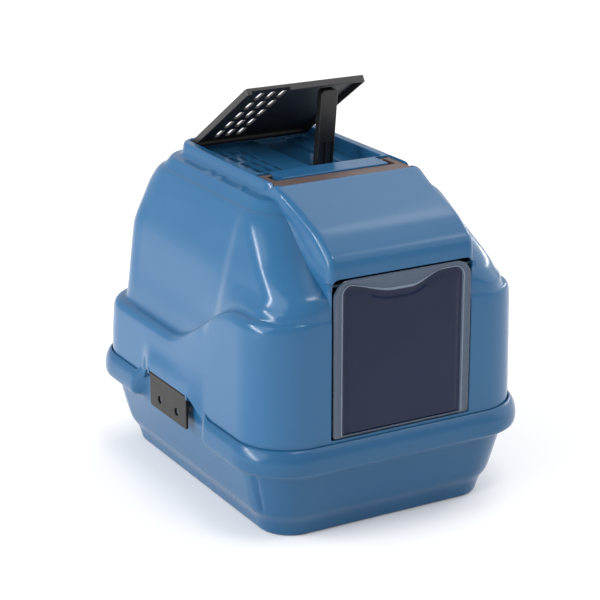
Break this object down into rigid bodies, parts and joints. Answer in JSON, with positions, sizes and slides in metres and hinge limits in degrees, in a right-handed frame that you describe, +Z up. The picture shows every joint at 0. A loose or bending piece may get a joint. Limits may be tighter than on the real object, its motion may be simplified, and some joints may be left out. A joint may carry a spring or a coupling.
{
  "type": "hooded cat litter box",
  "caption": "Hooded cat litter box: tray with a rolled rim, lift-off hood with a swinging see-through door, a vented top flap over a filter, a fold-flat handle, side clips and a stored scoop.",
  "frame": {"origin": "middle of the tray's base, on the floor", "axes": "+Z up, -Y towards the door at the front, +X to the right seen from the door's side"},
  "size_m": [0.4, 0.5, 0.5145],
  "materials": {
    "tray_plastic": "gloss",
    "hood_plastic": "gloss",
    "door_clear": "gloss",
    "flap_plastic": "satin",
    "handle_plastic": "satin",
    "clip_plastic": "satin",
    "scoop_plastic": "satin",
    "filter_foam": "matte"
  },
  "bodies": {
    "tray": {"tray": "tray_plastic"},
    "hood": {"hood": "hood_plastic", "hood_recess": "hood_plastic", "filter_holder": "hood_plastic", "filter_pad": "filter_foam"},
    "door": {"door": "door_clear"},
    "vent_flap": {"vent_flap": "flap_plastic"},
    "carry_handle": {"carry_handle": "handle_plastic"},
    "clip_left": {"clip_left": "clip_plastic"},
    "clip_right": {"clip_right": "clip_plastic"},
    "scoop": {"scoop": "scoop_plastic"}
  },
  "joints": [
    {"name": "hood_lift", "type": "slide", "parent": "tray", "child": "hood", "axis": [0, 0, 1], "range_m": [0, 0.26]},
    {"name": "door_swing", "type": "hinge", "parent": "hood", "child": "door", "pos_m": [0, -0.2323, 0.324], "axis": [1, 0, 0], "range_deg": [-75, 70]},
    {"name": "flap_hinge", "type": "hinge", "parent": "hood", "child": "vent_flap", "pos_m": [0, 0.147, 0.4105], "axis": [-1, 0, 0], "range_deg": [-33, 12]},
    {"name": "scoop_slide", "type": "slide", "parent": "hood", "child": "scoop", "axis": [0, -0.1219, 0.9925], "range_m": [-0.096, 0.035]},
    {"name": "handle_fold", "type": "hinge", "parent": "hood", "child": "carry_handle", "pos_m": [0, -0.052, 0.4125], "axis": [-1, 0, 0], "range_deg": [0, 90]},
    {"name": "clip_left_swing", "type": "hinge", "parent": "hood", "child": "clip_left", "pos_m": [-0.1946, 0.005, 0.141], "axis": [0, 1, 0], "range_deg": [0, 110]},
    {"name": "clip_right_swing", "type": "hinge", "parent": "hood", "child": "clip_right", "pos_m": [0.1946, 0.005, 0.141], "axis": [0, -1, 0], "range_deg": [0, 110]}
  ],
  "couplings": [
    {"joint": "scoop_slide", "follows": "flap_hinge", "m_per_rad": 0.165}
  ]
}
